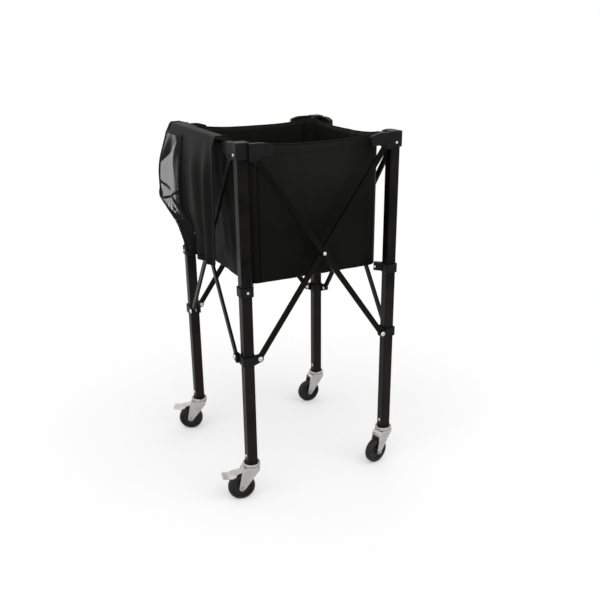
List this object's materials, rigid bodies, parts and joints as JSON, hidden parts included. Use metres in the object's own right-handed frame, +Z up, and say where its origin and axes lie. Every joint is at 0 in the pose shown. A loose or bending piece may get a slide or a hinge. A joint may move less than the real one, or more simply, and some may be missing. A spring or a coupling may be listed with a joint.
{
  "type": "tennis ball cart",
  "caption": "Folding tennis ball cart with square legs on swivel castors, crossed scissor bars, a black fabric bag hung between the legs and its mesh-ended cover flap over one side.",
  "frame": {"origin": "middle of the plan box at floor height, under the standing cart", "axes": "+Z up along the legs; +X from the side where the cover flap hangs to the opposite side; +Y from front to back"},
  "size_m": [0.575, 0.54, 1.0477],
  "materials": {
    "leg_tube": "black anodised, satin",
    "bar_tube": "black anodised, satin",
    "black_moulding": "moulded black nylon",
    "zinc_plate": "pressed steel, zinc plated",
    "bright_bolt": "bright plated steel",
    "wheel": "black hard rubber",
    "bag_cloth": "coated black polyester",
    "cover_cloth": "black polyester with a mesh end"
  },
  "bodies": {
    "frame": {"leg_front_left": "leg_tube", "top_bracket_front_left": "black_moulding", "bag_collar_front_left": "black_moulding", "castor_plug_front_left": "bright_bolt", "bag": "bag_cloth", "cover_flap": "cover_cloth"},
    "corner_front_right": {"leg_front_right": "leg_tube", "top_bracket_front_right": "black_moulding", "bag_collar_front_right": "black_moulding", "castor_plug_front_right": "bright_bolt"},
    "corner_back_right": {"leg_back_right": "leg_tube", "top_bracket_back_right": "black_moulding", "bag_collar_back_right": "black_moulding", "castor_plug_back_right": "bright_bolt"},
    "corner_back_left": {"leg_back_left": "leg_tube", "top_bracket_back_left": "black_moulding", "bag_collar_back_left": "black_moulding", "castor_plug_back_left": "bright_bolt"},
    "slide_front_left": {"slider_front_left": "black_moulding"},
    "slide_front_right": {"slider_front_right": "black_moulding"},
    "slide_back_right": {"slider_back_right": "black_moulding"},
    "slide_back_left": {"slider_back_left": "black_moulding"},
    "bar_front_outer": {"scissor_front_outer": "bar_tube", "centre_rivet_front": "bright_bolt"},
    "bar_front_inner": {"scissor_front_inner": "bar_tube"},
    "bar_right_outer": {"scissor_right_outer": "bar_tube", "centre_rivet_right": "bright_bolt"},
    "bar_right_inner": {"scissor_right_inner": "bar_tube"},
    "bar_back_outer": {"scissor_back_outer": "bar_tube", "centre_rivet_back": "bright_bolt"},
    "bar_back_inner": {"scissor_back_inner": "bar_tube"},
    "bar_left_outer": {"scissor_left_outer": "bar_tube", "centre_rivet_left": "bright_bolt"},
    "bar_left_inner": {"scissor_left_inner": "bar_tube"},
    "fork_front_left": {"castor_fork_front_left": "zinc_plate", "castor_axle_front_left": "bright_bolt"},
    "wheel_front_left": {"castor_wheel_front_left": "wheel"},
    "fork_front_right": {"castor_fork_front_right": "zinc_plate", "castor_axle_front_right": "bright_bolt"},
    "wheel_front_right": {"castor_wheel_front_right": "wheel"},
    "fork_back_right": {"castor_fork_back_right": "zinc_plate", "castor_axle_back_right": "bright_bolt"},
    "wheel_back_right": {"castor_wheel_back_right": "wheel"},
    "fork_back_left": {"castor_fork_back_left": "zinc_plate", "castor_axle_back_left": "bright_bolt"},
    "wheel_back_left": {"castor_wheel_back_left": "wheel"},
    "pedal_front_left": {"brake_pedal_front_left": "zinc_plate"},
    "pedal_back_left": {"brake_pedal_back_left": "zinc_plate"}
  },
  "joints": [
    {"name": "fold", "type": "hinge", "parent": "frame", "child": "bar_front_outer", "pos_m": [-0.16673, -0.26061, 1], "axis": [0, 1, 0], "range_deg": [0, 26], "deforming": ["bag", "cover_flap"]},
    {"name": "front_cross", "type": "hinge", "parent": "bar_front_outer", "child": "bar_front_inner", "pos_m": [0.03027, -0.25681, 0.723], "axis": [0, 1, 0], "range_deg": [-52, 0]},
    {"name": "front_right_top", "type": "hinge", "parent": "bar_front_inner", "child": "corner_front_right", "pos_m": [0.22727, -0.25301, 1], "axis": [0, 1, 0], "range_deg": [0, 26]},
    {"name": "front_left_low", "type": "hinge", "parent": "bar_front_inner", "child": "slide_front_left", "pos_m": [-0.16673, -0.25301, 0.446], "axis": [0, 1, 0], "range_deg": [0, 26]},
    {"name": "front_right_low", "type": "hinge", "parent": "bar_front_outer", "child": "slide_front_right", "pos_m": [0.22727, -0.26061, 0.446], "axis": [0, 1, 0], "range_deg": [-26, 0]},
    {"name": "left_top", "type": "hinge", "parent": "frame", "child": "bar_left_inner", "pos_m": [-0.20993, -0.20981, 1], "axis": [-1, 0, 0], "range_deg": [0, 26]},
    {"name": "left_cross", "type": "hinge", "parent": "bar_left_inner", "child": "bar_left_outer", "pos_m": [-0.21373, -0.01281, 0.723], "axis": [-1, 0, 0], "range_deg": [-52, 0]},
    {"name": "back_left_top", "type": "hinge", "parent": "bar_left_outer", "child": "corner_back_left", "pos_m": [-0.21753, 0.18419, 1], "axis": [-1, 0, 0], "range_deg": [0, 26]},
    {"name": "back_left_low", "type": "hinge", "parent": "bar_left_inner", "child": "slide_back_left", "pos_m": [-0.20993, 0.18419, 0.446], "axis": [-1, 0, 0], "range_deg": [-26, 0]},
    {"name": "right_top", "type": "hinge", "parent": "corner_front_right", "child": "bar_right_outer", "pos_m": [0.27807, -0.20981, 1], "axis": [-1, 0, 0], "range_deg": [0, 26]},
    {"name": "right_cross", "type": "hinge", "parent": "bar_right_outer", "child": "bar_right_inner", "pos_m": [0.27427, -0.01281, 0.723], "axis": [-1, 0, 0], "range_deg": [-52, 0]},
    {"name": "back_right_top", "type": "hinge", "parent": "bar_right_inner", "child": "corner_back_right", "pos_m": [0.27047, 0.18419, 1], "axis": [-1, 0, 0], "range_deg": [0, 26]},
    {"name": "back_right_low", "type": "hinge", "parent": "bar_right_outer", "child": "slide_back_right", "pos_m": [0.27807, 0.18419, 0.446], "axis": [-1, 0, 0], "range_deg": [-26, 0]},
    {"name": "back_top", "type": "hinge", "parent": "corner_back_left", "child": "bar_back_inner", "pos_m": [-0.16673, 0.22739, 1], "axis": [0, 1, 0], "range_deg": [0, 26]},
    {"name": "back_cross", "type": "hinge", "parent": "bar_back_inner", "child": "bar_back_outer", "pos_m": [0.03027, 0.23119, 0.723], "axis": [0, 1, 0], "range_deg": [-52, 0]},
    {"name": "swivel_front_left", "type": "hinge", "parent": "frame", "child": "fork_front_left", "pos_m": [-0.19723, -0.24031, 0.107], "axis": [0, 0, 1], "continuous": true},
    {"name": "roll_front_left", "type": "hinge", "parent": "fork_front_left", "child": "wheel_front_left", "pos_m": [-0.22853, -0.23366, 0.04], "axis": [-0.2079, -0.9781, 0], "continuous": true},
    {"name": "swivel_front_right", "type": "hinge", "parent": "corner_front_right", "child": "fork_front_right", "pos_m": [0.25777, -0.24031, 0.107], "axis": [0, 0, 1], "continuous": true},
    {"name": "roll_front_right", "type": "hinge", "parent": "fork_front_right", "child": "wheel_front_right", "pos_m": [0.22686, -0.24859, 0.04], "axis": [0.2588, -0.9659, 0], "continuous": true},
    {"name": "swivel_back_right", "type": "hinge", "parent": "corner_back_right", "child": "fork_back_right", "pos_m": [0.25777, 0.21469, 0.107], "axis": [0, 0, 1], "continuous": true},
    {"name": "roll_back_right", "type": "hinge", "parent": "fork_back_right", "child": "wheel_back_right", "pos_m": [0.22577, 0.21469, 0.04], "axis": [0, -1, 0], "continuous": true},
    {"name": "swivel_back_left", "type": "hinge", "parent": "corner_back_left", "child": "fork_back_left", "pos_m": [-0.19723, 0.21469, 0.107], "axis": [0, 0, 1], "continuous": true},
    {"name": "roll_back_left", "type": "hinge", "parent": "fork_back_left", "child": "wheel_back_left", "pos_m": [-0.22623, 0.22822, 0.04], "axis": [-0.4226, -0.9063, 0], "continuous": true},
    {"name": "brake_front_left", "type": "hinge", "parent": "fork_front_left", "child": "pedal_front_left", "pos_m": [-0.21875, -0.23573, 0.093], "axis": [-0.2079, -0.9781, 0], "range_deg": [0, 12]},
    {"name": "brake_back_left", "type": "hinge", "parent": "fork_back_left", "child": "pedal_back_left", "pos_m": [-0.21717, 0.22399, 0.093], "axis": [-0.4226, -0.9063, 0], "range_deg": [0, 12]}
  ],
  "couplings": [
    {"joint": "front_cross", "follows": "fold", "ratio": -2},
    {"joint": "front_right_top", "follows": "fold", "ratio": 1},
    {"joint": "front_left_low", "follows": "fold", "ratio": 1},
    {"joint": "front_right_low", "follows": "fold", "ratio": -1},
    {"joint": "left_top", "follows": "fold", "ratio": 1},
    {"joint": "left_cross", "follows": "fold", "ratio": -2},
    {"joint": "back_left_top", "follows": "fold", "ratio": 1},
    {"joint": "back_left_low", "follows": "fold", "ratio": -1},
    {"joint": "right_top", "follows": "fold", "ratio": 1},
    {"joint": "right_cross", "follows": "fold", "ratio": -2},
    {"joint": "back_right_top", "follows": "fold", "ratio": 1},
    {"joint": "back_right_low", "follows": "fold", "ratio": -1},
    {"joint": "back_top", "follows": "fold", "ratio": 1},
    {"joint": "back_cross", "follows": "fold", "ratio": -2}
  ]
}
